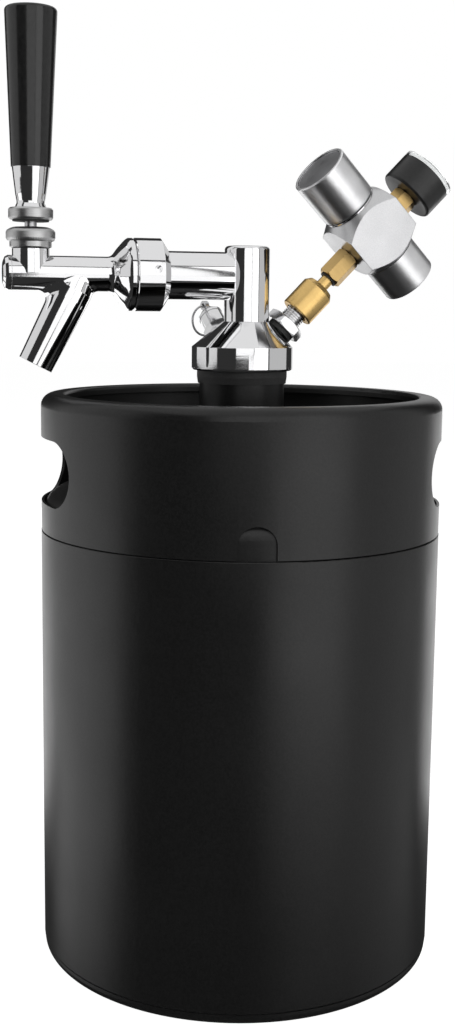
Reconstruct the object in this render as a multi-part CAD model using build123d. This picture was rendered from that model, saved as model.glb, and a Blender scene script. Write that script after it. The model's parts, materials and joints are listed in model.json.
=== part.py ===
from build123d import *
from math import cos, radians, sin, sqrt
import os

# Mini keg with a screw-on tap head, a lever faucet and a small gas regulator.
# Units are millimetres. Origin: centre of the foot ring, on the floor. +Z up,
# the faucet arm points along -X, the gas line leans up toward +X, front is -Y.

# Keg vessel
KEG_R = 108.2
KEG_WALL = 1.2
FOOT_R = 107.8
FOOT_WALL = 6.0
FOOT_H = 6.0
SEAM_Z = 235.0
SEAM_GAP = 0.25
SHOULDER_R = 106.5
DOME_TOP_Z = 287.0
NECK_R = 22.9
NECK_WALL = 2.5
NECK_TOP_Z = 329.0

# Handle ring (shroud)
SHROUD_R = 108.0
SHROUD_WALL = 1.4
RIM_Z = 308.0
RIM_CORNER_R = 6.5
RIM_LIP_R = 95.0
FAUCET_GRIP_CLOCK = 4.8
GAS_GRIP_CLOCK = 10.2
NOTCH_CLOCK = 9.5
GRIP_W = 102.0
GRIP_H = 34.5
GRIP_Z = 268.3
NOTCH_W = 19.2
NOTCH_H = 17.0

# Tap head
HEAD_R = 27.2
HEAD_Z = 320.9
HEAD_BAND_TOP_Z = 333.2
CONE_TOP_Z = 346.6
TOWER_X = 2.2
TOWER_R = 12.1
TOWER_TOP_Z = 386.6
BEER_BORE_R = 4.0
DIP_TUBE_R = 4.5
DIP_TUBE_END_Z = 12.0

# Faucet arm, distances S measured from the tower axis along -X
ARM_Z = 370.7
SLEEVE_R = 12.6
SLEEVE_END_S = 60.2
SHANK_BORE_R = 7.5
NUT_R = 19.0
NUT_S0 = 44.0
NUT_S1 = 61.9
FLARE_S = 62.3
FLARE_R = 18.5
BARREL_R = 8.95
CHEST_END_S = 125.5
VALVE_BORE_R = 4.5
PIVOT_S = 115.2
PIVOT_UP = 13.4
BOSS_R = 9.6
SPOUT_ROOT_S = 89.4
SPOUT_TILT = 27.0
SPOUT_DROP = 47.1
SPOUT_R = 9.2
SPOUT_WALL = 1.4
SPOUT_BLEND = 4.0
LEVER_LEAN = 0.6
LEVER_LOW = 12.0

# Gas line, distances measured along the line from the cone surface
GAS_ELEV = 46.2
GAS_X = 19.7
GAS_Z = 340.8
GAS_BORE_R = 1.6
REG_S = 75.0
REG_HALF = 17.5
REG_TOP = 19.6
REG_BOTTOM = 15.4
REG_TILT = 12.0
SCREW_PLATE = 11.0
KNOB_R = 15.6
KNOB_BASE = 20.9
KNOB_LEN = 26.8
SOCKET_R = 15.3
SOCKET_END = 36.0
HEX_S = 41.0
GAUGE_S = 103.0
GAUGE_R = 15.8
GAUGE_DEPTH = 15.5
GAUGE_SWEEP = 270.0

# Relief valve, on the far side of the cone
PRV_AZ = 113.0
PRV_R = 20.0
PRV_Z = 339.8
EYE_S = 21.5
RING_R = 8.2

BASE = (Align.CENTER, Align.CENTER, Align.MIN)
CENTRED = (Align.CENTER, Align.CENTER, Align.CENTER)


def save(shape, name):
    """Write one node of the part."""
    export_step(shape, f"parts/{name}.step")


def tube(r_out, r_in, length):
    """Straight tube standing on the XY plane."""
    return Cylinder(r_out, length, align=BASE) - Cylinder(r_in, length, align=BASE)


def turned(points):
    """Solid turned about Z from (radius, height) points, closed on themselves."""
    profile = Polyline(*[(r, 0, z) for r, z in points], close=True)
    return revolve(make_face(profile), Axis.Z)


def hex_bar(across_flats, length, chamfer_len=0.0):
    """Hexagonal bar standing on the XY plane, its corners cut by a cone at both ends."""
    corner_r = across_flats / sqrt(3)
    bar = extrude(RegularPolygon(corner_r, 6), length)
    if chamfer_len > 0:
        cut = corner_r - across_flats / 2
        bar &= turned([(0, 0), (corner_r - cut, 0), (corner_r, chamfer_len),
                       (corner_r, length - chamfer_len), (corner_r - cut, length), (0, length)])
    return bar


def along_arm(shape, s):
    """Put a shape built along +Z on the faucet arm, its foot at s, pointing outward."""
    return Pos(TOWER_X - s, 0, ARM_Z) * (Rot(0, -90, 0) * shape)


def at_pivot(shape):
    """Put a shape built along +Z on the upright line through the lever pivot."""
    return Pos(TOWER_X - PIVOT_S, 0, ARM_Z + PIVOT_UP) * shape


def on_lever(shape, up=0.0):
    """Put a shape built along +Z on the lever, up millimetres from the pivot."""
    return at_pivot(Rot(0, LEVER_LEAN, 0) * Pos(0, 0, up) * shape)


def along_gas(shape, s):
    """Put a shape built along +Z on the gas line, its foot s from the cone."""
    run = s * cos(radians(GAS_ELEV))
    rise = s * sin(radians(GAS_ELEV))
    return Pos(GAS_X + run, 0, GAS_Z + rise) * (Rot(0, 90 - GAS_ELEV, 0) * shape)


def in_regulator(shape):
    """Place a shape drawn with the gas line on +Z and the knob on -X."""
    return along_gas(Rot(0, 0, REG_TILT) * shape, REG_S)


def knob_side(shape, s):
    """Lay a shape built along +Z on the knob axis of the regulator, s from its centre."""
    return in_regulator(Pos(-s, 0, 0) * (Rot(0, -90, 0) * shape))


def socket_side(shape, s):
    """Lay a shape built along +Z on the cartridge side of the regulator."""
    return in_regulator(Pos(s, 0, 0) * (Rot(0, 90, 0) * shape))


def on_cone_back(shape, s):
    """Put a shape built along +Z on the relief valve line, s out from the cone."""
    run = PRV_R + s * cos(radians(45))
    line = Pos(run, 0, PRV_Z + s * sin(radians(45))) * (Rot(0, 45, 0) * shape)
    return Rot(0, 0, PRV_AZ) * line


def keg_shell():
    """Drawn cup: flat base and straight wall up to the shoulder."""
    height = SEAM_Z - FOOT_H
    outer = Cylinder(KEG_R, height, align=BASE)
    outer = fillet(outer.edges().group_by(Axis.Z)[0], 1.0)
    outer = fillet(outer.edges().group_by(Axis.Z)[-1], 0.4)
    inner = Pos(0, 0, KEG_WALL) * Cylinder(KEG_R - KEG_WALL, height, align=BASE)
    return Pos(0, 0, FOOT_H) * (outer - inner)


def foot_ring():
    """Rounded ring the keg stands on."""
    ring = tube(FOOT_R, FOOT_R - FOOT_WALL, FOOT_H - 0.02)
    outer_edge = ring.edges().group_by(Axis.Z)[0].sort_by(lambda e: e.radius)[-1]
    return fillet(outer_edge, 4.2)


def dome_line(offset):
    """Outline of the dome from its skirt to the neck, moved inward by offset."""
    skirt = (SHOULDER_R - offset, 0, SEAM_Z)
    corner = (SHOULDER_R - offset, 0, SEAM_Z + 10 - offset)
    shoulder = (SHOULDER_R - 12, 0, SEAM_Z + 23.5 - offset)
    crown = (NECK_R + 0.02, 0, DOME_TOP_Z - offset)
    return skirt, corner, shoulder, crown


def top_dome():
    """Pressed dome closing the vessel, with a plain skirt under the handle ring."""
    skirt, corner, shoulder, crown = dome_line(0)
    skirt_in, corner_in, shoulder_in, crown_in = dome_line(KEG_WALL)
    lines = [
        Line(skirt, corner),
        Spline(corner, shoulder, crown, tangents=[(0, 0, 1), (-0.97, 0, 0.24)]),
        Line(crown, crown_in),
        Spline(crown_in, shoulder_in, corner_in, tangents=[(0.97, 0, -0.24), (0, 0, -1)]),
        Line(corner_in, skirt_in),
        Line(skirt_in, skirt),
    ]
    return revolve(make_face(lines), Axis.Z)


def neck():
    """Neck tube with a coarse outside thread form at its top."""
    body = tube(NECK_R, NECK_R - NECK_WALL, NECK_TOP_Z - DOME_TOP_Z + KEG_WALL)
    body = Pos(0, 0, DOME_TOP_Z - KEG_WALL) * body
    body -= Pos(0, 0, HEAD_Z) * tube(NECK_R + 1, NECK_R - 0.6, 12)
    for turn in range(3):
        root = Pos(0, 0, HEAD_Z + 1.4 + 2.4 * turn) * tube(NECK_R + 1, NECK_R - 1.3, 1.1)
        body -= root
    return body


def shroud_profile():
    """Half section of the handle ring: wall, rolled corner, inward lip."""
    r, w, c = SHROUD_R, SHROUD_WALL, RIM_CORNER_R
    top = RIM_Z
    lip = RIM_LIP_R
    mid = sqrt(0.5)
    foot = SEAM_Z + SEAM_GAP
    lines = [
        Line((r, 0, foot + 0.35), (r, 0, top - c)),
        ThreePointArc((r, 0, top - c), (r - c + c * mid, 0, top - c + c * mid), (r - c, 0, top)),
        Line((r - c, 0, top), (lip + 2, 0, top)),
        ThreePointArc((lip + 2, 0, top), (lip + 2 - 2 * mid, 0, top - 2 + 2 * mid), (lip, 0, top - 2)),
        Line((lip, 0, top - 2), (lip, 0, top - 4.5)),
        Line((lip, 0, top - 4.5), (lip + w, 0, top - 4.5)),
        Line((lip + w, 0, top - 4.5), (lip + w, 0, top - w)),
        Line((lip + w, 0, top - w), (r - c, 0, top - w)),
        ThreePointArc((r - c, 0, top - w), (r - c + (c - w) * mid, 0, top - c + (c - w) * mid),
                      (r - w, 0, top - c)),
        Line((r - w, 0, top - c), (r - w, 0, foot)),
        Line((r - w, 0, foot), (r - 0.35, 0, foot)),
        Line((r - 0.35, 0, foot), (r, 0, foot + 0.35)),
    ]
    return make_face(lines)


def top_shroud():
    """Handle ring with two hand openings and an arched drain notch at the front."""
    ring = revolve(shroud_profile(), Axis.Z)
    grip = Pos(0, 0, GRIP_Z) * extrude(Plane.YZ * SlotOverall(GRIP_W, GRIP_H), 130)
    faucet_grip = Rot(0, 0, 180 - FAUCET_GRIP_CLOCK) * grip
    gas_grip = Rot(0, 0, -GAS_GRIP_CLOCK) * grip
    notch = Box(NOTCH_W, 60, NOTCH_H, align=(Align.CENTER, Align.MAX, Align.MIN))
    notch = fillet(notch.edges().filter_by(Axis.Y).group_by(Axis.Z)[-1], NOTCH_W / 2 - 0.2)
    notch = Rot(0, 0, -NOTCH_CLOCK) * Pos(0, -80, SEAM_Z) * notch
    return ring - faucet_grip - gas_grip - notch


def neck_gasket():
    """Tapered rubber collar between the neck and the tap head."""
    inner = NECK_R + 0.05
    return turned([(inner, HEAD_Z - 7.0), (NECK_R + 0.9, HEAD_Z - 7.0), (NECK_R + 1.4, HEAD_Z - 3.5),
                   (NECK_R + 1.4, HEAD_Z - 0.3), (inner, HEAD_Z - 0.3)])


def head_body():
    """Tap head: band that screws over the neck, and the cone leading to the tower."""
    band = Pos(0, 0, HEAD_Z) * Cylinder(HEAD_R, HEAD_BAND_TOP_Z - HEAD_Z, align=BASE)
    band = chamfer(band.edges().group_by(Axis.Z)[0], 1.0)
    low = Plane.XY.offset(HEAD_BAND_TOP_Z) * Circle(HEAD_R)
    high = Plane.XY.offset(CONE_TOP_Z) * (Pos(TOWER_X, 0) * Circle(TOWER_R + 0.8))
    body = band + loft([low, high])
    body -= Pos(0, 0, HEAD_Z) * Cylinder(NECK_R + 0.3, NECK_TOP_Z - HEAD_Z + 0.4, align=BASE)
    body -= Pos(0, 0, HEAD_Z) * Cylinder(DIP_TUBE_R + 0.05, 40, align=BASE)
    body -= along_gas(Cylinder(4.0, 40, align=CENTRED), 0)
    body -= along_gas(Cylinder(9.5, 20, align=BASE), 0.48)
    body -= on_cone_back(Cylinder(5.0, 40, align=CENTRED), 0)
    return body


def dip_tube():
    """Long tube that draws beer from the bottom of the vessel."""
    length = CONE_TOP_Z - 4 - DIP_TUBE_END_Z
    pipe = tube(DIP_TUBE_R, DIP_TUBE_R - 0.8, length)
    return Pos(0, 0, DIP_TUBE_END_Z) * pipe


def tower():
    """Upright barrel of the tap, bored for the beer and for the arm."""
    foot = CONE_TOP_Z + 0.02
    post = Pos(TOWER_X, 0, foot) * Cylinder(TOWER_R, TOWER_TOP_Z - foot, align=BASE)
    post = fillet(post.edges().group_by(Axis.Z)[-1], 2.0)
    post -= Pos(0, 0, foot) * Cylinder(BEER_BORE_R, ARM_Z - foot, align=BASE)
    post -= along_arm(Cylinder(BEER_BORE_R, TOWER_R + 2, align=BASE), 0)
    return post


def shank_sleeve():
    """Thick sleeve of the arm, saddled against the tower."""
    start = 9.5
    sleeve = tube(SLEEVE_R, SHANK_BORE_R, SLEEVE_END_S - start)
    sleeve = along_arm(sleeve, start)
    return sleeve - Pos(TOWER_X, 0, 340) * Cylinder(TOWER_R + 0.02, 60, align=BASE)


def coupling_nut():
    """Round nut holding the faucet, with pin-spanner holes."""
    inner = SLEEVE_R + 0.05
    length = NUT_S1 - NUT_S0
    cup_r, cup_depth = 16.2, 2.0
    nut = turned([(inner, 0), (inner + 0.8, 0), (NUT_R, 3.7), (NUT_R, length - 0.7),
                  (NUT_R - 0.7, length), (cup_r, length), (cup_r, length - cup_depth),
                  (inner, length - cup_depth)])
    hole = Pos(0, 0, length * 0.42) * (Rot(0, 90, 0) * Pos(0, 0, 14.6) * Cylinder(1.9, 6, align=BASE))
    for turn in range(4):
        nut -= Rot(0, 0, 90 * turn + 8) * hole
    return along_arm(nut, NUT_S0)


def faucet_gasket():
    """Flat ring sealing the faucet flare."""
    ring = tube(15.8, SHANK_BORE_R + 0.3, FLARE_S - SLEEVE_END_S - 0.2)
    return along_arm(ring, SLEEVE_END_S + 0.1)


def faucet_barrel():
    """Turned outside of the faucet from the flare to the front chest."""
    rim, bell_end = 2.4, 13.5
    end = CHEST_END_S - FLARE_S
    lines = [
        Line((0, 0, 0), (FLARE_R, 0, 0)),
        Line((FLARE_R, 0, 0), (FLARE_R + 0.4, 0, 0.5)),
        Line((FLARE_R + 0.4, 0, 0.5), (FLARE_R + 0.4, 0, rim)),
        Spline((FLARE_R + 0.4, 0, rim), (15.9, 0, 5.8), (12.1, 0, 9.0), (BARREL_R, 0, bell_end),
               tangents=[(-0.45, 0, 0.9), (0, 0, 1)]),
        Line((BARREL_R, 0, bell_end), (BARREL_R, 0, end)),
        Line((BARREL_R, 0, end), (0, 0, end)),
        Line((0, 0, end), (0, 0, 0)),
    ]
    return along_arm(revolve(make_face(lines), Axis.Z), FLARE_S)


def spout_solid(radius_tip, radius_root, extra):
    """Leaning spout, from inside the barrel to its cut end."""
    length = SPOUT_DROP / cos(radians(SPOUT_TILT)) + extra
    spout = turned([(0, 0), (radius_root - 2.0, 0), (radius_root, 9), (radius_root - 0.1, 15),
                    (radius_tip, length), (0, length)])
    lean = Rot(0, 180 + SPOUT_TILT, 0) * spout
    return Pos(TOWER_X - SPOUT_ROOT_S, 0, ARM_Z) * lean


def faucet_body():
    """Faucet casting: flare, barrel, chest, lever boss and spout, bored through."""
    body = faucet_barrel() + spout_solid(SPOUT_R, SPOUT_R + 1.2, 0)
    corner = [e for e in body.edges().filter_by(GeomType.BSPLINE) if e.center().X < -76]
    body = fillet(corner, SPOUT_BLEND)
    boss = Pos(0, 0, -PIVOT_UP) * Cylinder(BOSS_R, PIVOT_UP - 1.1, align=BASE)
    body += at_pivot(boss)
    body -= along_arm(Cylinder(VALVE_BORE_R, CHEST_END_S - FLARE_S + 2, align=BASE), FLARE_S - 1)
    body -= spout_solid(SPOUT_R - SPOUT_WALL, SPOUT_R - SPOUT_WALL - 0.4, 0.01)
    body -= at_pivot(Pos(0, 0, -PIVOT_UP) * Cylinder(5.9, PIVOT_UP + 2, align=BASE))
    return body


def faucet_cap():
    """Domed plug closing the front of the faucet."""
    plug_r = VALVE_BORE_R - 0.03
    cap = turned([(0, 0), (plug_r, 0), (plug_r, 3.05), (BARREL_R, 3.05), (BARREL_R, 4.6),
                  (BARREL_R - 0.9, 6.2), (BARREL_R - 3.4, 7.2), (0, 7.6)])
    return along_arm(cap, CHEST_END_S - 3.0)


def bonnet_nut():
    """Round nut over the lever ball; its mouth lets the lever lean."""
    nut = turned([(6.3, -0.9), (9.4, -0.9), (10.8, -0.2), (10.8, 2.5), (12.1, 3.0), (12.7, 4.6),
                  (12.7, 6.8), (11.8, 8.4), (10.4, 9.2), (8.9, 9.7), (8.0, 9.7), (6.3, 5.2)])
    return at_pivot(nut)


def faucet_lever():
    """Stem with the pivot ball; its lower tip pushes the valve shaft."""
    ball = Sphere(5.4)
    lower = Pos(0, 0, -LEVER_LOW) * Cylinder(1.7, LEVER_LOW, align=BASE)
    tip = Pos(0, 0, -LEVER_LOW) * Sphere(1.9)
    upper = Cylinder(3.1, 44, align=BASE)
    return on_lever(ball + lower + tip + upper)


def lever_bushing():
    """Thin dark washer under the lever collar."""
    return on_lever(tube(9.4, 3.15, 0.8), 12.6)


def lever_collar():
    """Round lock nut on the lever."""
    collar = tube(11.5, 3.15, 6.0)
    collar = chamfer(collar.edges().filter_by(GeomType.CIRCLE).group_by(SortBy.RADIUS)[-1], 0.9)
    return on_lever(collar, 13.45)


def handle_ferrule():
    """Flared metal cone under the grip."""
    ferrule = turned([(3.15, 0), (8.2, 0), (7.2, 2.2), (7.2, 3.2), (7.9, 6.8), (8.9, 14.5), (9.6, 20.3),
                      (3.15, 20.3)])
    return on_lever(ferrule, 19.5)


def handle_grip():
    """Long tapered grip."""
    foot_r, top_r, length = 10.1, 13.4, 78.3
    grip = Cone(foot_r, top_r, length, align=BASE)
    grip = fillet(grip.edges().filter_by(GeomType.CIRCLE).sort_by(Axis.Z)[-1], 2.0)
    grip -= Cylinder(3.3, 12, align=BASE)
    return on_lever(grip, 39.9)


def valve_shaft():
    """Sliding shaft: rear guide, thin rod, and a front head slotted for the lever tip."""
    rear = FLARE_S - 6.2
    rod = along_arm(Cylinder(1.9, PIVOT_S - rear, align=BASE), rear)
    head = along_arm(Cylinder(4.1, 11.0, align=BASE), PIVOT_S - 5.5)
    slot_z = ARM_Z + PIVOT_UP - LEVER_LOW
    slot = Pos(TOWER_X - PIVOT_S, 0, slot_z - 2.4) * Box(5.6, 20, 12, align=BASE)
    return rod + head - slot


def seat_washer():
    """Rubber washer that closes the faucet against its inner end."""
    return along_arm(tube(6.4, 1.95, 2.0), FLARE_S - 2.35)


def shaft_nut():
    """Small nut holding the seat washer on the shaft."""
    nut = hex_bar(6.5, 2.6, 0.4) - Cylinder(1.95, 3, align=BASE)
    return along_arm(nut, FLARE_S - 5.0)


def inlet_washer():
    """Black washer under the gas fitting."""
    return along_gas(tube(7.7, 4.0, 2.45), 0.5)


def inlet_fitting():
    """Threaded gas inlet: shank in the head, hexagon, and a male flare thread."""
    body = Pos(0, 0, -3.5) * Cylinder(3.9, 6.5, align=BASE)
    body += Pos(0, 0, 3.0) * hex_bar(19.0, 5.4, 0.9)
    body += Pos(0, 0, 7.9) * Cylinder(5.4, 12.0, align=BASE)
    for turn in range(7):
        body += Pos(0, 0, 8.8 + 1.27 * turn) * (Cone(5.4, 5.95, 0.4, align=BASE)
                                               + Pos(0, 0, 0.4) * Cone(5.95, 5.4, 0.4, align=BASE))
    body += Pos(0, 0, 19.9) * Cone(5.4, 3.4, 2.6, align=BASE)
    body -= Pos(0, 0, -5) * Cylinder(GAS_BORE_R, 40, align=BASE)
    return along_gas(body, 0)


def swivel_nut():
    """Round brass flare nut that turns on its tailpiece."""
    r = 9.3
    nut = turned([(6.35, 0), (r - 0.5, 0), (r, 0.6), (r, 16.6), (r - 1.9, 19.2), (3.95, 19.2),
                  (3.95, 15.2), (6.35, 9.4)])
    return along_gas(nut, 15.0)


def gas_tailpiece():
    """Brass neck with the flared seat inside the swivel nut."""
    body = Pos(0, 0, 23.4) * Cone(4.9, 3.55, 3.6, align=BASE)
    body += Pos(0, 0, 27.0) * Cylinder(3.5, 13.95, align=BASE)
    body -= Pos(0, 0, 20) * Cylinder(GAS_BORE_R, 30, align=BASE)
    return along_gas(body, 0)


def tailpiece_ring():
    """Thin rubber ring at the lower end of the brass hexagon."""
    return along_gas(tube(4.9, 3.55, 0.9), 40.0)


def brass_hex():
    """Brass hexagon screwed into the regulator."""
    length = REG_S - REG_HALF - HEX_S - 0.1
    body = hex_bar(12.0, length, 0.8)
    body += Pos(0, 0, length) * Cylinder(4.8, 5.0, align=BASE)
    body -= Pos(0, 0, -1) * Cylinder(GAS_BORE_R, 30, align=BASE)
    return along_gas(body, HEX_S)


def regulator_body():
    """Square bar about the knob axis, its four flats cut by cones at both ends."""
    half = REG_HALF
    corner = sqrt(2) * half
    outline = turned([(0, -REG_BOTTOM), (half - 2.2, -REG_BOTTOM), (corner, 8 - REG_BOTTOM),
                      (corner, REG_TOP - 8), (half - 2.2, REG_TOP), (0, REG_TOP)])
    bar = Box(2 * half, 2 * half, 3 * half) & outline
    bar -= Pos(0, 0, 4) * Cylinder(11.0, 40, align=BASE)
    bar -= Pos(0, 0, -30) * Cylinder(9.2, 20, align=BASE)
    bar -= Pos(0, 0, -12) * Cylinder(2.0, 20, align=BASE)
    body = in_regulator(Rot(0, -90, 0) * bar)
    body -= along_gas(Cylinder(4.85, 5.2, align=BASE), REG_S - half)
    body -= along_gas(Cylinder(GAS_BORE_R, 2 * half + 2, align=BASE), REG_S - half - 1)
    body -= along_gas(Cylinder(4.0, 5.1, align=BASE), REG_S + half - 5.1)
    return body


def regulator_collar():
    """Chrome collar under the knob, threaded into the body."""
    collar = turned([(5.2, -4.3), (10.95, -4.3), (10.95, 0.05), (15.0, 0.05), (15.0, 0.9),
                     (5.2, 0.9)])
    return knob_side(collar, REG_TOP)


def knob():
    """Turned knob with a recessed disc seat in its end."""
    body = Cone(KNOB_R - 0.2, KNOB_R, KNOB_LEN, align=BASE)
    ends = body.edges().filter_by(GeomType.CIRCLE).sort_by(lambda e: e.radius)
    body = fillet(ends[0], 1.4)
    top = body.edges().filter_by(GeomType.CIRCLE).sort_by(lambda e: e.radius)[-1]
    body = chamfer(top, 0.5)
    body -= Pos(0, 0, KNOB_LEN - 1.6) * Cylinder(KNOB_R - 1.6, 3, align=BASE)
    body -= Cylinder(4.05, 20, align=BASE)
    return knob_side(body, KNOB_BASE)


def knob_disc():
    """Brushed disc set into the knob end."""
    disc = Cylinder(KNOB_R - 1.9, 1.0, align=BASE)
    return knob_side(disc, KNOB_BASE + KNOB_LEN - 1.58)


def adjusting_screw():
    """Screw turned by the knob, with the plate that loads the regulator spring."""
    screw = Cylinder(4.0, 28.0, align=BASE) + Cylinder(9.8, 1.6, align=BASE)
    return knob_side(screw, SCREW_PLATE)


def control_spring():
    """Regulator spring between the screw plate and the diaphragm."""
    coil = Helix(pitch=1.9, height=5.3, radius=7.2)
    wire = sweep(Plane(origin=coil @ 0, z_dir=coil % 0) * Circle(0.55), path=coil)
    return knob_side(wire, 4.75)


def cartridge_socket():
    """Cylinder that takes a threaded gas cartridge."""
    body = Pos(0, 0, 0.3) * Cylinder(SOCKET_R, SOCKET_END - REG_BOTTOM - 0.3, align=BASE)
    body = fillet(body.edges().group_by(Axis.Z)[-1], 0.9)
    body += Pos(0, 0, -4.9) * Cylinder(9.15, 5.3, align=BASE)
    body -= Pos(0, 0, 7.5) * Cylinder(4.76, 20, align=BASE)
    body -= Pos(0, 0, 4.5) * Cylinder(4.2, 4, align=BASE)
    body -= Pos(0, 0, -10) * Cylinder(2.0, 20, align=BASE)
    return socket_side(body, REG_BOTTOM)


def piercing_pin():
    """Hollow pin that opens the cartridge, standing in the nose recess below the thread."""
    pin = Cylinder(1.95, 5.2, align=BASE) + Pos(0, 0, 5.2) * Cone(1.95, 0.5, 2.6, align=BASE)
    pin -= Pos(0, 0, -1) * Cylinder(0.4, 12, align=BASE)
    return socket_side(pin, REG_BOTTOM - 0.6)


def gauge_stem():
    """Brass stem of the gauge: thread in the body and a hexagon."""
    stem = Pos(0, 0, -5.0) * Cylinder(3.95, 5.3, align=BASE)
    stem += Pos(0, 0, 0.3) * hex_bar(12.7, GAUGE_S - REG_S - REG_HALF - 0.35, 0.8)
    return along_gas(stem, REG_S + REG_HALF)


def gauge_case():
    """Black cup of the gauge."""
    case = Cylinder(GAUGE_R, GAUGE_DEPTH, align=BASE)
    case = fillet(case.edges().group_by(Axis.Z)[0], 1.4)
    case -= Pos(0, 0, 3.0) * Cylinder(GAUGE_R - 1.5, GAUGE_DEPTH, align=BASE)
    return along_gas(case, GAUGE_S)


def gauge_dial():
    """Dial plate with the needle post."""
    plate = Cylinder(GAUGE_R - 1.6, 0.8, align=BASE) + Pos(0, 0, 0.8) * Cylinder(0.9, 1.6, align=BASE)
    return along_gas(plate, GAUGE_S + 10.5)


def gauge_needle():
    """Pointer with a short tail, parked at the bottom left of the dial."""
    hub = Cylinder(1.8, 0.7, align=BASE) - Cylinder(0.95, 2, align=BASE)
    blade = Pos(0, 0, 0.1) * Box(11.0, 0.9, 0.5, align=(Align.MIN, Align.CENTER, Align.MIN))
    tail = Pos(0, 0, 0.1) * Box(4.0, 1.5, 0.5, align=(Align.MAX, Align.CENTER, Align.MIN))
    pointer = hub + (blade + tail - Cylinder(0.95, 2, align=BASE))
    return along_gas(Rot(0, 0, -45) * pointer, GAUGE_S + 11.7)


def gauge_lens():
    """Clear domed window clipped over the case."""
    r = GAUGE_R
    dome_r = 40.0
    outer = Pos(0, 0, 3.0 - dome_r + 3.2) * Sphere(dome_r)
    inner = Pos(0, 0, 3.0 - dome_r + 2.0) * Sphere(dome_r)
    lens = (Cylinder(r, 8, align=BASE) & outer) - (Cylinder(r - 1.3, 8, align=BASE) & inner)
    return along_gas(lens, GAUGE_S + GAUGE_DEPTH + 0.05)


def relief_body():
    """Threaded seat of the relief valve with its hexagon."""
    body = Pos(0, 0, -3.0) * Cylinder(4.9, 3.6, align=BASE)
    body += Pos(0, 0, 0.55) * hex_bar(14.0, 4.6, 0.6)
    body += Pos(0, 0, 5.1) * Cylinder(6.6, 7.6, align=BASE)
    body -= Pos(0, 0, 1.6) * Cylinder(4.2, 20, align=BASE)
    body -= Pos(0, 0, -4) * Cylinder(2.6, 20, align=BASE)
    return on_cone_back(body, 0)


def relief_spring():
    """Spring holding the relief valve shut."""
    coil = Helix(pitch=1.9, height=5.6, radius=3.2)
    wire = sweep(Plane(origin=coil @ 0, z_dir=coil % 0) * Circle(0.4), path=coil)
    return on_cone_back(wire, 4.2)


def relief_stem():
    """Pull stem with the seal plate and the eye for the ring."""
    stem = Pos(0, 0, 2.0) * Cylinder(3.9, 1.4, align=BASE)
    stem += Pos(0, 0, 3.3) * Cylinder(1.3, 16.6, align=BASE)
    eye = Cylinder(2.6, 2.4, rotation=(90, 0, 0)) - Cylinder(1.25, 4, rotation=(90, 0, 0))
    eye = Pos(0, 0, EYE_S) * eye
    return on_cone_back(stem + eye, 0)


def relief_cap():
    """Round cap crimped over the spring."""
    cap = turned([(1.65, 12.8), (6.8, 12.8), (6.8, 14.2), (5.0, 16.0), (1.65, 16.0)])
    return on_cone_back(cap, 0)


def relief_ring():
    """Wire pull ring hanging from the stem eye."""
    eye_out = EYE_S * cos(radians(45))
    centre = Pos(PRV_R + eye_out, 0, PRV_Z + eye_out - RING_R)
    return Rot(0, 0, PRV_AZ) * (centre * (Rot(0, 90, 0) * Torus(RING_R, 0.6)))


NODES = [
    keg_shell, foot_ring, top_dome, neck, top_shroud, neck_gasket, head_body, dip_tube, tower,
    shank_sleeve, coupling_nut, faucet_gasket, faucet_body, faucet_cap, bonnet_nut, faucet_lever,
    lever_bushing, lever_collar, handle_ferrule, handle_grip, valve_shaft, seat_washer, shaft_nut,
    inlet_washer, inlet_fitting, swivel_nut, gas_tailpiece, tailpiece_ring, brass_hex,
    regulator_body, regulator_collar, knob, knob_disc, adjusting_screw, control_spring,
    cartridge_socket, piercing_pin, gauge_stem, gauge_case, gauge_dial, gauge_needle, gauge_lens,
    relief_body, relief_spring, relief_stem, relief_cap, relief_ring,
]

os.makedirs("parts", exist_ok=True)
for build_node in NODES:
    save(build_node(), build_node.__name__)
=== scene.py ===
import bpy
import bmesh
import json
import math
from mathutils import Matrix, Vector


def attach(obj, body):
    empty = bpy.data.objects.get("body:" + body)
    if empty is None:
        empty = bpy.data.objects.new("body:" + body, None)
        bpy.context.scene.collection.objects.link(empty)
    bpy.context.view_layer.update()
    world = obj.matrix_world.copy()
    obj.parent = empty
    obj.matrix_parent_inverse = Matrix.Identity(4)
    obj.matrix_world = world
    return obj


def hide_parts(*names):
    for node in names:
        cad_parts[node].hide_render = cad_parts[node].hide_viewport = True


# Looks for the mini keg with its tap head, faucet and gas regulator. Metres, +Z up.

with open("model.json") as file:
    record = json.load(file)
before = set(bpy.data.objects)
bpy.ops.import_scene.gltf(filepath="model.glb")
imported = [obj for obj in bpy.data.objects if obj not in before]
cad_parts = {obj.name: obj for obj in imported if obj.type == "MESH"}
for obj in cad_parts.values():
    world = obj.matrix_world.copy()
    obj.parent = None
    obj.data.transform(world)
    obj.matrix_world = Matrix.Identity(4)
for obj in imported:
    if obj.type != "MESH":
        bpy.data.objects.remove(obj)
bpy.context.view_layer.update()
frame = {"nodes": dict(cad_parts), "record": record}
NODES = frame["nodes"]
JOINTS = {j["name"]: j for j in frame["record"]["behaviour"]["joints"]}

UP = Vector((0, 0, 1))
ARM_AXIS = Vector((-1, 0, 0))
GAS_AXIS = Vector(JOINTS["flare_swivel_turn"]["axis"])
KNOB_AXIS = Vector(JOINTS["pressure_knob_turn"]["axis"])
RELIEF_AXIS = Vector(JOINTS["relief_valve_pull"]["axis"])
LEVER_PIVOT = Vector(JOINTS["tap_lever_tilt"]["pos_m"])
NEEDLE_POS = Vector(JOINTS["gauge_needle_turn"]["pos_m"])


# ---------------------------------------------------------------- materials

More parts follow.
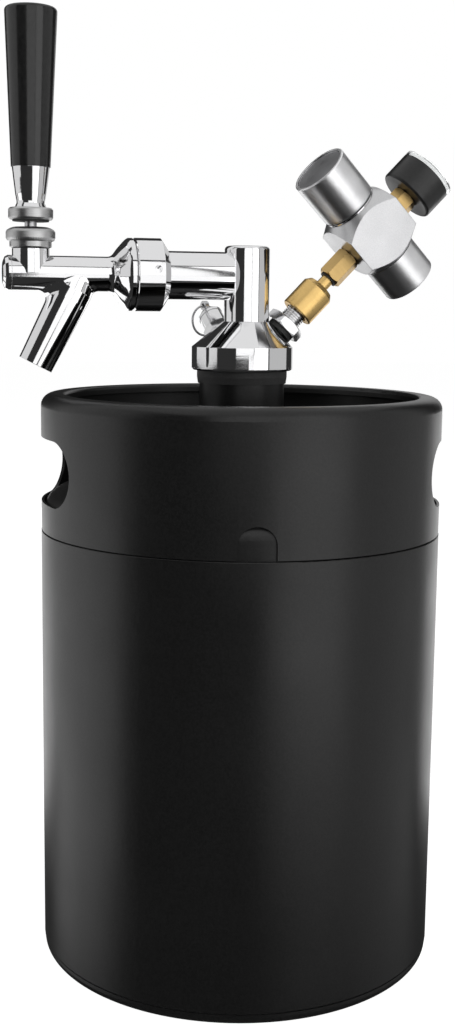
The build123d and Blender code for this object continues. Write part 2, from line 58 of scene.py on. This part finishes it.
def material(name, colour, metallic, roughness):
    """Makes a Principled material; returns it with its tree and shader."""
    mat = bpy.data.materials.new(name)
    mat.use_nodes = True
    tree = mat.node_tree
    shader = tree.nodes["Principled BSDF"]
    shader.inputs["Base Color"].default_value = (*colour, 1)
    shader.inputs["Metallic"].default_value = metallic
    shader.inputs["Roughness"].default_value = roughness
    return mat, tree, shader


def coords(tree, axis=UP, stretch=(1, 1, 1)):
    """Object coordinates turned so that axis is Z, then stretched."""
    place = tree.nodes.new("ShaderNodeTexCoord")
    turn = tree.nodes.new("ShaderNodeMapping")
    turn.inputs["Rotation"].default_value = axis.rotation_difference(UP).to_euler()
    scale = tree.nodes.new("ShaderNodeMapping")
    scale.inputs["Scale"].default_value = stretch
    tree.links.new(place.outputs["Object"], turn.inputs["Vector"])
    tree.links.new(turn.outputs["Vector"], scale.inputs["Vector"])
    return scale.outputs["Vector"]


def noise(tree, vector, scale, detail=3.0, rough=0.5):
    """Noise texture driven by vector; returns its factor."""
    tex = tree.nodes.new("ShaderNodeTexNoise")
    tex.inputs["Scale"].default_value = scale
    tex.inputs["Detail"].default_value = detail
    tex.inputs["Roughness"].default_value = rough
    tree.links.new(vector, tex.inputs["Vector"])
    return tex.outputs["Fac"]


def spread(tree, factor, low, high):
    """Turns the middle of a factor's range into values from low to high."""
    ramp = tree.nodes.new("ShaderNodeMapRange")
    ramp.inputs["From Min"].default_value = 0.3
    ramp.inputs["From Max"].default_value = 0.7
    ramp.inputs["To Min"].default_value = low
    ramp.inputs["To Max"].default_value = high
    tree.links.new(factor, ramp.inputs["Value"])
    return ramp.outputs["Result"]


def tint(tree, shader, factor, dark, light):
    """Colour variation from dark to light."""
    ramp = tree.nodes.new("ShaderNodeValToRGB")
    ramp.color_ramp.elements[0].position = 0.35
    ramp.color_ramp.elements[1].position = 0.65
    ramp.color_ramp.elements[0].color = (*dark, 1)
    ramp.color_ramp.elements[1].color = (*light, 1)
    tree.links.new(factor, ramp.inputs["Fac"])
    tree.links.new(ramp.outputs["Color"], shader.inputs["Base Color"])


def soft_edges(tree, radius=0.0003):
    """Normal with rounded edges, for machined and plated pieces."""
    node = tree.nodes.new("ShaderNodeBevel")
    node.inputs["Radius"].default_value = radius
    return node.outputs["Normal"]


def bump(tree, shader, factor, depth, strength, under=None):
    """Bump from a height factor, depth in metres."""
    node = tree.nodes.new("ShaderNodeBump")
    node.inputs["Strength"].default_value = strength
    node.inputs["Distance"].default_value = depth
    tree.links.new(factor, node.inputs["Height"])
    if under is not None:
        tree.links.new(under, node.inputs["Normal"])
    tree.links.new(node.outputs["Normal"], shader.inputs["Normal"])
    return node.outputs["Normal"]


def powder_coat(name, shade, rough):
    """Matte black coat with a fine orange-peel skin."""
    mat, tree, shader = material(name, (shade, shade, shade * 1.04), 0.0, rough)
    shader.inputs["IOR"].default_value = 1.43
    here = coords(tree)
    cloud = noise(tree, here, 14.0, 4.0)
    grain = noise(tree, here, 900.0, 2.0)
    peel = noise(tree, here, 260.0, 3.0)
    tree.links.new(spread(tree, cloud, rough - 0.05, rough + 0.06), shader.inputs["Roughness"])
    tint(tree, shader, grain, (shade * 0.75,) * 3, (shade * 1.35,) * 3)
    skin = bump(tree, shader, peel, 0.00025, 0.10)
    bump(tree, shader, grain, 0.00012, 0.16, skin)
    return mat


def chrome(name, axis, rough=0.045, shade=0.86):
    """Polished plating with faint waves and wiping marks round the axis."""
    mat, tree, shader = material(name, (shade, shade, shade * 1.01), 1.0, rough)
    here = coords(tree, axis)
    lines = coords(tree, axis, (1, 1, 30))
    smear = noise(tree, here, 45.0, 5.0, 0.6)
    tree.links.new(spread(tree, smear, rough * 0.6, rough * 1.9), shader.inputs["Roughness"])
    wave = bump(tree, shader, noise(tree, here, 38.0, 1.0), 0.0006, 0.05, soft_edges(tree))
    bump(tree, shader, noise(tree, lines, 60.0, 4.0), 0.00004, 0.05, wave)
    return mat


def turned_metal(name, colour, axis, rough, lines=55.0):
    """Satin turned metal: fine rings about the axis."""
    mat, tree, shader = material(name, colour, 1.0, rough)
    rings = coords(tree, axis, (1, 1, lines))
    here = coords(tree, axis)
    ring = noise(tree, rings, 70.0, 5.0, 0.65)
    cloud = noise(tree, here, 60.0, 3.0)
    tree.links.new(spread(tree, ring, rough - 0.06, rough + 0.10), shader.inputs["Roughness"])
    tint(tree, shader, cloud, [c * 0.90 for c in colour], [min(1.0, c * 1.06) for c in colour])
    bump(tree, shader, ring, 0.00006, 0.16, soft_edges(tree))
    return mat


def blasted_metal(name, colour, rough):
    """Fine bead-blasted metal."""
    mat, tree, shader = material(name, colour, 1.0, rough)
    here = coords(tree)
    grain = noise(tree, here, 2600.0, 2.0)
    cloud = noise(tree, here, 50.0, 3.0)
    tree.links.new(spread(tree, cloud, rough - 0.04, rough + 0.05), shader.inputs["Roughness"])
    tint(tree, shader, grain, [c * 0.92 for c in colour], [min(1.0, c * 1.05) for c in colour])
    bump(tree, shader, grain, 0.00008, 0.2, soft_edges(tree, 0.0006))
    return mat


def rubber(name):
    """Black moulded rubber."""
    shade = 0.016
    mat, tree, shader = material(name, (shade, shade, shade), 0.0, 0.62)
    here = coords(tree)
    grain = noise(tree, here, 1800.0, 3.0)
    tree.links.new(spread(tree, noise(tree, here, 80.0), 0.52, 0.70), shader.inputs["Roughness"])
    tint(tree, shader, grain, (shade * 0.7,) * 3, (shade * 1.5,) * 3)
    bump(tree, shader, grain, 0.00010, 0.22)
    return mat


def gloss_black(name, rough, shade=0.008):
    """Smooth black moulded plastic with faint flow lines."""
    mat, tree, shader = material(name, (shade, shade, shade * 1.05), 0.0, rough)
    here = coords(tree)
    tree.links.new(spread(tree, noise(tree, here, 70.0, 5.0), rough * 0.8, rough * 1.3),
                   shader.inputs["Roughness"])
    tint(tree, shader, noise(tree, here, 500.0, 2.0), (shade * 0.8,) * 3, (shade * 1.4,) * 3)
    bump(tree, shader, noise(tree, here, 700.0, 2.0), 0.00005, 0.06)
    return mat


def dial_white(name):
    """Printed dial plate."""
    mat, tree, shader = material(name, (0.80, 0.80, 0.78), 0.0, 0.5)
    here = coords(tree)
    tint(tree, shader, noise(tree, here, 400.0), (0.76, 0.76, 0.74), (0.83, 0.83, 0.81))
    tree.links.new(spread(tree, noise(tree, here, 90.0), 0.42, 0.58), shader.inputs["Roughness"])
    return mat


def ink(name, colour):
    """Printed or painted marks."""
    mat, tree, shader = material(name, colour, 0.0, 0.45)
    here = coords(tree)
    tree.links.new(spread(tree, noise(tree, here, 300.0), 0.38, 0.55), shader.inputs["Roughness"])
    tint(tree, shader, noise(tree, here, 900.0), [c * 0.8 for c in colour], [c * 1.2 for c in colour])
    return mat


def clear_window(name):
    """Clear moulded gauge window."""
    mat, tree, shader = material(name, (0.97, 0.98, 0.98), 0.0, 0.03)
    shader.inputs["Transmission Weight"].default_value = 1.0
    shader.inputs["IOR"].default_value = 1.46
    here = coords(tree)
    tree.links.new(spread(tree, noise(tree, here, 60.0, 4.0), 0.005, 0.02), shader.inputs["Roughness"])
    return mat


def dress(mat, *names):
    """Give CAD nodes a finished material."""
    for name in names:
        mesh = NODES[name].data
        mesh.materials.clear()
        mesh.materials.append(mat)


keg_coat = powder_coat("keg_coat", 0.006, 0.33)
dress(keg_coat, "keg_shell", "foot_ring", "top_dome", "neck", "top_shroud")
dress(rubber("black_rubber"), "neck_gasket", "faucet_gasket", "lever_bushing", "seat_washer",
      "inlet_washer", "tailpiece_ring")
dress(chrome("chrome_head", UP), "head_body", "tower")
dress(chrome("chrome_arm", ARM_AXIS), "shank_sleeve", "coupling_nut", "faucet_body", "faucet_cap")
dress(chrome("chrome_ferrule", UP, 0.05), "handle_ferrule")
dress(turned_metal("turned_steel", (0.60, 0.60, 0.61), UP, 0.28), "dip_tube", "faucet_lever")
dress(turned_metal("shaft_steel", (0.60, 0.60, 0.61), ARM_AXIS, 0.26), "valve_shaft", "shaft_nut")
dress(gloss_black("grip_black", 0.16), "handle_grip")
dress(gloss_black("gauge_black", 0.34, 0.006), "gauge_case")
dress(chrome("fitting_plate", GAS_AXIS, 0.10, 0.70), "inlet_fitting")
dress(turned_metal("brass_swivel", (0.81, 0.55, 0.21), GAS_AXIS, 0.34), "swivel_nut", "gas_tailpiece")
dress(turned_metal("brass_dark", (0.57, 0.39, 0.16), GAS_AXIS, 0.34), "brass_hex", "gauge_stem")
dress(blasted_metal("block_aluminium", (0.64, 0.64, 0.65), 0.30), "regulator_body")
dress(chrome("collar_chrome", KNOB_AXIS, 0.08, 0.80), "regulator_collar")
dress(turned_metal("knob_aluminium", (0.93, 0.93, 0.94), KNOB_AXIS, 0.34), "knob", "cartridge_socket")
dress(turned_metal("disc_aluminium", (0.38, 0.38, 0.39), KNOB_AXIS, 0.38), "knob_disc")
dress(turned_metal("regulator_steel", (0.52, 0.52, 0.53), KNOB_AXIS, 0.30), "adjusting_screw",
      "control_spring", "piercing_pin")
dress(dial_white("dial_white"), "gauge_dial")
black_ink = ink("black_ink", (0.02, 0.02, 0.02))
dress(black_ink, "gauge_needle")
dress(clear_window("gauge_window"), "gauge_lens")
dress(chrome("relief_plate", RELIEF_AXIS, 0.10, 0.78), "relief_body", "relief_cap")
dress(turned_metal("relief_steel", (0.60, 0.60, 0.61), RELIEF_AXIS, 0.25), "relief_stem",
      "relief_spring", "relief_ring")


# ---------------------------------------------------------------- knurled rings

def frame_along(origin, axis, across):
    """Matrix that puts local Z on axis and local X near across, at origin."""
    z = axis.normalized()
    x = (across - z * across.dot(z)).normalized()
    turned = Matrix((x, z.cross(x), z)).transposed().to_4x4()
    return Matrix.Translation(origin) @ turned


KNURL_STEP = 0.35
KNURL_SLANT = 2.2
VERTS_PER_RIDGE = 4
SHARP_ANGLE = math.radians(35)


def outline_points(outline, band):
    """Points round a closed outline of (radius, height) in mm, closer together in the band."""
    low_z, high_z, least_r = band
    points = []
    for k, (r, z) in enumerate(outline):
        r_next, z_next = outline[(k + 1) % len(outline)]
        in_band = low_z <= min(z, z_next) and max(z, z_next) <= high_z and min(r, r_next) > least_r
        steps = max(2, round(abs(z_next - z) / KNURL_STEP)) if in_band else 1
        points += [(r + (r_next - r) * i / steps, z + (z_next - z) * i / steps) for i in range(steps)]
    return points


def knurled_ring(name, outline, band, count, depth, place, mat):
    """Turned ring with a diamond knurl; band is (low, high, least radius), all in mm."""
    low_z, high_z, least_r = band
    around = count * VERTS_PER_RIDGE
    mesh = bmesh.new()
    rings = []
    for r, z in outline_points(outline, band):
        cut = depth if low_z <= z <= high_z and r > least_r else 0.0
        row = []
        for i in range(around):
            a = 2 * math.pi * i / around
            left = abs(math.sin(count * a / 2 + z * KNURL_SLANT))
            right = abs(math.sin(count * a / 2 - z * KNURL_SLANT))
            rr = (r - cut * (1 - min(left, right))) / 1000
            row.append(mesh.verts.new((rr * math.cos(a), rr * math.sin(a), z / 1000)))
        rings.append(row)
    for low, high in zip(rings, rings[1:] + rings[:1]):
        for i in range(around):
            j = (i + 1) % around
            mesh.faces.new((low[i], low[j], high[j], high[i]))
    bmesh.ops.recalc_face_normals(mesh, faces=mesh.faces)
    data = bpy.data.meshes.new(name)
    mesh.to_mesh(data)
    mesh.free()
    data.transform(place)
    data.materials.append(mat)
    for face in data.polygons:
        face.use_smooth = True
    data.set_sharp_from_angle(angle=SHARP_ANGLE)
    obj = bpy.data.objects.new(name, data)
    bpy.context.collection.objects.link(obj)
    return obj


LEVER_LEAN = math.radians(0.6)
COLLAR_UP = 0.01345
LEVER_AXIS = Vector((math.sin(LEVER_LEAN), 0, math.cos(LEVER_LEAN)))
knurl_steel = turned_metal("knurl_steel", (0.56, 0.56, 0.56), UP, 0.30, 30.0)
bonnet = knurled_ring(
    "bonnet_nut_knurled",
    [(6.3, -0.9), (9.4, -0.9), (10.8, -0.2), (10.8, 2.5), (12.1, 3.0), (12.7, 4.2), (12.7, 7.2),
     (11.9, 8.4), (10.4, 9.2), (8.9, 9.7), (8.0, 9.7), (6.3, 5.2)],
    (4.2, 7.2, 12.0), 64, 0.28, frame_along(LEVER_PIVOT, UP, ARM_AXIS), knurl_steel)
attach(bonnet, "keg")
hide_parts("bonnet_nut")
collar = knurled_ring(
    "lever_collar_knurled",
    [(3.15, 0.0), (10.6, 0.0), (11.5, 0.9), (11.5, 5.1), (10.6, 6.0), (3.15, 6.0)],
    (0.9, 5.1, 11.0), 60, 0.26,
    frame_along(LEVER_PIVOT + LEVER_AXIS * COLLAR_UP, LEVER_AXIS, ARM_AXIS), knurl_steel)
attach(collar, "tap_lever")
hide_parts("lever_collar")


# ---------------------------------------------------------------- gauge dial

DIAL_REST = -45.0
DIAL_SWEEP = 270.0
DIAL_MARKS = 30
DIAL_LABELS = 5
DIAL_FACE_ABOVE = 0.0003
PRINT_THICK = 0.00004
MARK_OUTER_R = 0.0130
LONG_MARK = (0.0108, 0.00050)
SHORT_MARK = (0.0119, 0.00025)
NUMBER_R = 0.0091
NUMBER_SIZE = 0.0030
dial_frame = frame_along(NEEDLE_POS + GAS_AXIS * DIAL_FACE_ABOVE, GAS_AXIS, -UP)


def dial_angle(share):
    """Angle on the dial, share of the sweep from the needle's rest."""
    return math.radians(DIAL_REST - DIAL_SWEEP * share)


def printed(name, data, mat):
    """Adds a printed mark on the dial to the scene."""
    data.materials.append(mat)
    obj = bpy.data.objects.new(name, data)
    bpy.context.collection.objects.link(obj)
    return obj


def dial_ticks():
    """Short and long marks round the dial as thin printed bars."""
    mesh = bmesh.new()
    for k in range(DIAL_MARKS + 1):
        long_mark = k % (DIAL_MARKS // DIAL_LABELS) == 0
        inner, width = LONG_MARK if long_mark else SHORT_MARK
        bar = bmesh.ops.create_cube(mesh, size=1.0)["verts"]
        shape = (Matrix.Rotation(dial_angle(k / DIAL_MARKS), 4, "Z")
                 @ Matrix.Translation(((inner + MARK_OUTER_R) / 2, 0, PRINT_THICK / 2))
                 @ Matrix.Diagonal((MARK_OUTER_R - inner, width, PRINT_THICK, 1)))
        bmesh.ops.transform(mesh, matrix=dial_frame @ shape, verts=bar)
    data = bpy.data.meshes.new("dial_ticks")
    mesh.to_mesh(data)
    mesh.free()
    return data


ticks = printed("dial_ticks", dial_ticks(), black_ink)
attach(ticks, "keg")
for k in range(DIAL_LABELS + 1):
    text = bpy.data.curves.new(f"dial_number_{k}", "FONT")
    text.body = str(k)
    text.size = NUMBER_SIZE
    text.extrude = PRINT_THICK / 2
    text.align_x = "CENTER"
    text.align_y = "CENTER"
    number = printed(f"dial_number_{k}", text, black_ink)
    a = dial_angle(k / DIAL_LABELS)
    spot = Vector((NUMBER_R * math.cos(a), NUMBER_R * math.sin(a), PRINT_THICK / 2))
    upright = Matrix(((0, -1, 0), (1, 0, 0), (0, 0, 1))).to_4x4()
    number.matrix_world = dial_frame @ Matrix.Translation(spot) @ upright
    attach(number, "keg")


# ---------------------------------------------------------------- stage

VIEW_YAW = math.radians(13.5)
CAMERA_XY = (-0.0069, -0.745)
CAMERA_Z = 0.3545
CAMERA_PITCH = 0.1486
CAMERA_ROLL = 0.0114
FOCAL_IN_HEIGHTS = 1370.62 / 1024
SENSOR_WIDTH = 36.0
PANEL_DISTANCE = 1.6
FLOOR_HALF = 8
FLOOR_GLOW = 0.985
ROOM_FILL = 0.03


def turn_to_view(x, y):
    """Turns a point from the camera's heading into the part's frame."""
    c, s = math.cos(VIEW_YAW), math.sin(VIEW_YAW)
    return x * c + y * s, -x * s + y * c


def light_panel(name, azimuth, width, low, high, radiance):
    """Upright softbox round the object; azimuth in degrees from the camera, left is minus."""
    a = math.radians(azimuth)
    x, y = turn_to_view(math.sin(a) * PANEL_DISTANCE, -math.cos(a) * PANEL_DISTANCE)
    place_light(name, (x, y, (low + high) / 2), (0, 0, (low + high) / 2), width, high - low, radiance)


def place_light(name, spot, target, width, height, radiance):
    """Rectangular area light that the camera does not see."""
    data = bpy.data.lights.new(name, "AREA")
    data.shape = "RECTANGLE"
    data.size = width
    data.size_y = height
    data.energy = radiance * math.pi * width * height
    obj = bpy.data.objects.new(name, data)
    obj.location = spot
    aim = Vector(target) - obj.location
    obj.rotation_mode = "QUATERNION"
    obj.rotation_quaternion = aim.to_track_quat("-Z", "Y")
    obj.visible_camera = False
    bpy.context.collection.objects.link(obj)


floor_mesh = bpy.data.meshes.new("floor")
corners = [(x * FLOOR_HALF, y * FLOOR_HALF, 0) for x, y in ((-1, -1), (1, -1), (1, 1), (-1, 1))]
floor_mesh.from_pydata(corners, [], [(0, 1, 2, 3)])
floor_mat, _, floor_shader = material("studio_floor", (0.30, 0.30, 0.30), 0.0, 0.9)
floor_shader.inputs["Specular IOR Level"].default_value = 0.0
floor_shader.inputs["Emission Color"].default_value = (1, 1, 1, 1)
floor_shader.inputs["Emission Strength"].default_value = FLOOR_GLOW
floor_mesh.materials.append(floor_mat)
floor = bpy.data.objects.new("floor", floor_mesh)
bpy.context.collection.objects.link(floor)
floor.visible_glossy = False

# The camera sees a white backdrop; every other ray sees a dim room.
world = bpy.data.worlds.new("studio")
bpy.context.scene.world = world
world.use_nodes = True
sky = world.node_tree.nodes
backdrop = sky["Background"]
backdrop.inputs["Color"].default_value = (1, 1, 1, 1)
backdrop.inputs["Strength"].default_value = 1.0
fill = sky.new("ShaderNodeBackground")
fill.inputs["Color"].default_value = (1, 1, 1, 1)
fill.inputs["Strength"].default_value = ROOM_FILL
rays = sky.new("ShaderNodeLightPath")
choose = sky.new("ShaderNodeMixShader")
sky_links = world.node_tree.links
sky_links.new(rays.outputs["Is Camera Ray"], choose.inputs["Fac"])
sky_links.new(fill.outputs["Background"], choose.inputs[1])
sky_links.new(backdrop.outputs["Background"], choose.inputs[2])
sky_links.new(choose.outputs["Shader"], sky["World Output"].inputs["Surface"])

# Azimuth, width, lower edge, upper edge, radiance.
light_panel("front_right", 44, 0.95, -0.45, 1.8, 1.5)
light_panel("front_high", 6, 1.16, 0.27, 1.8, 1.15)
light_panel("front_low", 22, 0.40, -0.42, 0.27, 1.1)
light_panel("left_low", -97, 1.77, -0.75, 0.22, 1.2)
light_panel("left_high", -92, 2.1, 0.25, 1.8, 0.7)
light_panel("right_side", 92, 1.7, -0.75, 1.8, 0.5)
light_panel("back_left", -150, 1.2, -0.5, 0.22, 1.3)
light_panel("back_right", 150, 1.2, -0.5, 0.22, 1.3)
light_panel("back_high", 165, 0.7, 0.25, 1.5, 0.6)
place_light("top", (0, 0, 1.7), (0, 0, 0), 2.6, 2.6, 0.8)

cam_data = bpy.data.cameras.new("camera")
cam_data.sensor_width = SENSOR_WIDTH
cam_data.lens = SENSOR_WIDTH * FOCAL_IN_HEIGHTS
camera = bpy.data.objects.new("camera", cam_data)
bpy.context.collection.objects.link(camera)
camera.location = (*turn_to_view(*CAMERA_XY), CAMERA_Z)
look = (Matrix.Rotation(-VIEW_YAW, 4, "Z") @ Matrix.Rotation(math.pi / 2 - CAMERA_PITCH, 4, "X")
        @ Matrix.Rotation(CAMERA_ROLL, 4, "Z"))
camera.rotation_euler = look.to_euler()
bpy.context.scene.camera = camera
bpy.context.scene.view_settings.view_transform = "Standard"
